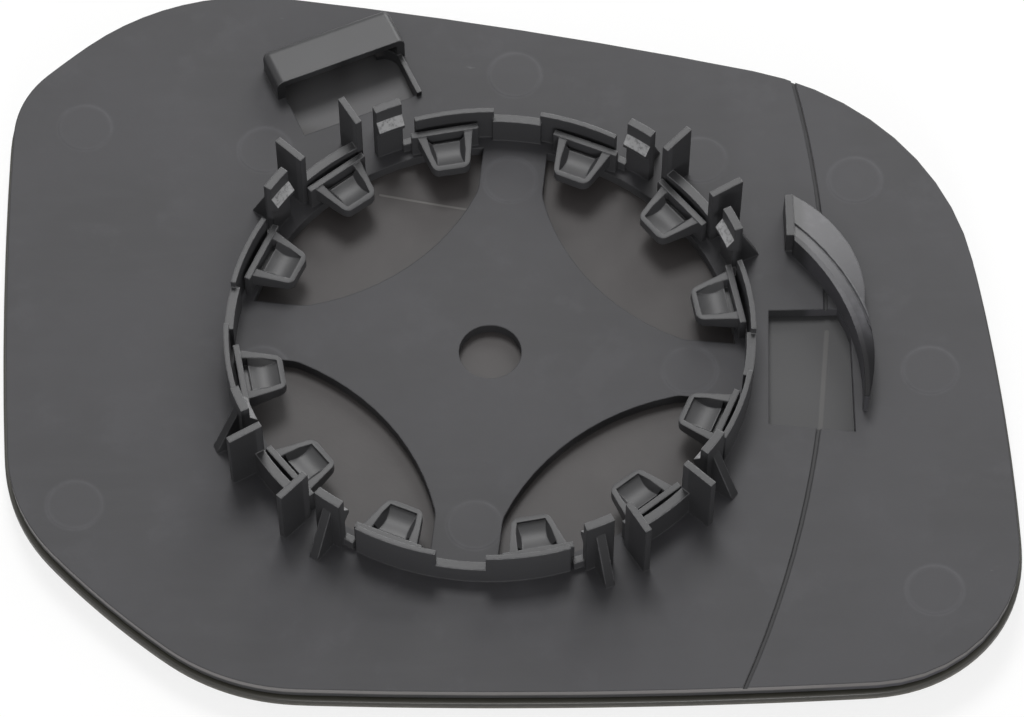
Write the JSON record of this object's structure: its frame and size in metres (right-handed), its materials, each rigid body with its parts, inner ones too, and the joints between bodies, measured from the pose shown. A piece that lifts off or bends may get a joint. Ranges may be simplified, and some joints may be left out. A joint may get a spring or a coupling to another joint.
{
  "type": "car door mirror glass",
  "caption": "Convex door mirror glass on a moulded backing plate with a snap ring, spring catches, fins, a hood and a curved guide, seen from its back.",
  "frame": {"origin": "centre of the spider's hole, on the top face of the backing plate", "axes": "+Z away from the mirror face, out of the back; +X along the glass towards the side with the curved guide; +Y towards the side with the hood"},
  "size_m": [0.1779, 0.1449, 0.0195],
  "materials": {
    "mirror": "reflecting convex front, dull dark olive edge",
    "film": "dull brownish grey adhesive film",
    "plate": "fine-textured black moulding"
  },
  "bodies": {
    "root": {"mirror_glass": "mirror", "adhesive_film": "film", "backing_plate": "plate"}
  },
  "joints": []
}
